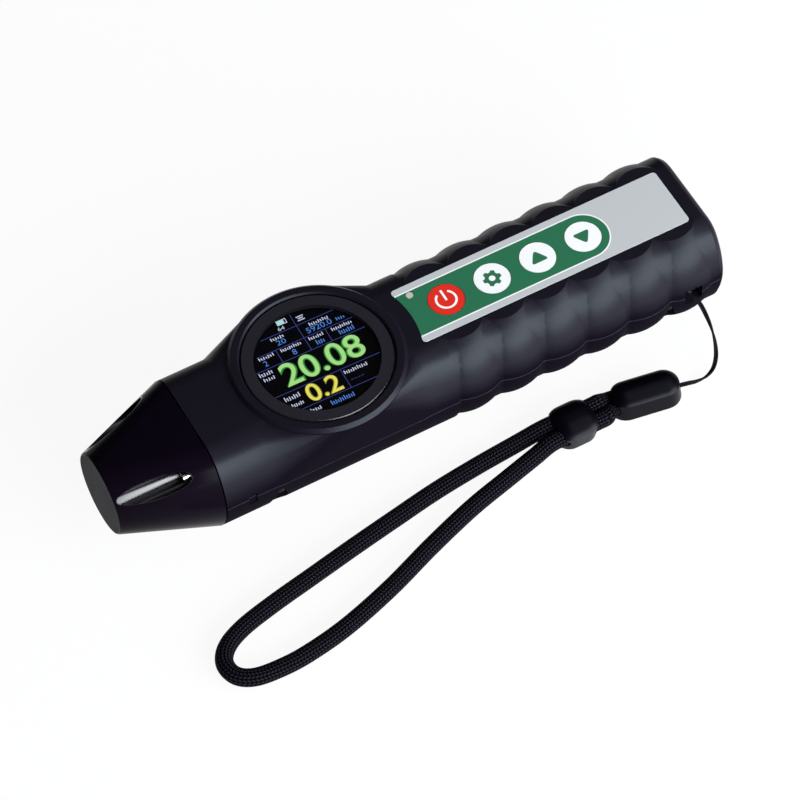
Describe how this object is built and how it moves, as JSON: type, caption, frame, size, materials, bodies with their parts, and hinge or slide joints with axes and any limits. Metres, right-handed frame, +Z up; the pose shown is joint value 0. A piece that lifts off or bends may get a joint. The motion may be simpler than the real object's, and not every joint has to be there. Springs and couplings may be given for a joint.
{
  "type": "ultrasonic thickness gauge",
  "caption": "Hand-held ultrasonic thickness gauge: conical probe nose, round display drum, flat keypad on a scalloped grip, and a braided wrist strap on a thin string.",
  "frame": {"origin": "on the flat foot, under the middle of the body's length and width", "axes": "+X from the probe face to the tail, +Y to the side away from the strap slot, +Z up through the display"},
  "size_m": [0.172, 0.0832, 0.0353],
  "materials": {
    "housing": "black moulded plastic with a soft satin sheen",
    "nose": "smooth semi-gloss black plastic",
    "wear_plate": "flat dark grey wear plate",
    "crystal": "pale ceramic",
    "damping": "filled resin",
    "sleeve": "turned metal",
    "lead": "soft black jacket",
    "seal": "soft black seal",
    "bright_screw": "bright plated steel",
    "lens": "clear cover lens with a dark printed ring",
    "display": "dark panel with lit figures",
    "board": "green circuit board",
    "cell": "blue wrapped cell",
    "pad": "soft foam pad",
    "steel": "plain steel",
    "dark_screw": "blackened steel",
    "label": "silver grey film with a green field",
    "spacer": "white film",
    "circuit": "amber film",
    "red_key": "red printed disc with a white sign",
    "white_key": "white printed disc with a green sign",
    "light": "milky light window",
    "cord": "black braided cord",
    "string": "thin black string",
    "strap_plastic": "black moulded plastic"
  },
  "bodies": {
    "body": {"upper_housing": "housing", "lower_housing": "housing", "nose_cone": "nose", "probe_face": "wear_plate", "transducer_disc": "crystal", "damping_block": "damping", "transducer_sleeve": "sleeve", "probe_lead": "lead", "nose_seal": "seal", "nose_screws": "bright_screw", "display_lens": "lens", "lens_gasket": "seal", "display_module": "display", "main_board": "board", "board_screws": "steel", "battery": "cell", "battery_pad": "pad", "charging_socket": "steel", "keypad_overlay": "label", "keypad_spacer": "spacer", "keypad_circuit": "circuit", "dome_power": "steel", "dome_menu": "steel", "dome_up": "steel", "dome_down": "steel", "status_light": "light", "housing_screws": "dark_screw", "strap_bar": "steel", "strap_string": "string", "strap_bead": "strap_plastic", "strap_cord": "cord"},
    "key_power": {"key_power": "red_key"},
    "key_menu": {"key_menu": "white_key"},
    "key_up": {"key_up": "white_key"},
    "key_down": {"key_down": "white_key"},
    "slider": {"strap_slider": "strap_plastic"}
  },
  "joints": [
    {"name": "power_press", "type": "slide", "parent": "body", "child": "key_power", "axis": [0, 0, -1], "range_m": [0, 0.00035], "stiffness_N_per_m": 4000, "deforming": ["dome_power"]},
    {"name": "menu_press", "type": "slide", "parent": "body", "child": "key_menu", "axis": [0, 0, -1], "range_m": [0, 0.00035], "stiffness_N_per_m": 4000, "deforming": ["dome_menu"]},
    {"name": "up_press", "type": "slide", "parent": "body", "child": "key_up", "axis": [0, 0, -1], "range_m": [0, 0.00035], "stiffness_N_per_m": 4000, "deforming": ["dome_up"]},
    {"name": "down_press", "type": "slide", "parent": "body", "child": "key_down", "axis": [0, 0, -1], "range_m": [0, 0.00035], "stiffness_N_per_m": 4000, "deforming": ["dome_down"]},
    {"name": "slider_run", "type": "slide", "parent": "body", "child": "slider", "axis": [1, 0, 0], "range_m": [0, 0.0025]}
  ]
}
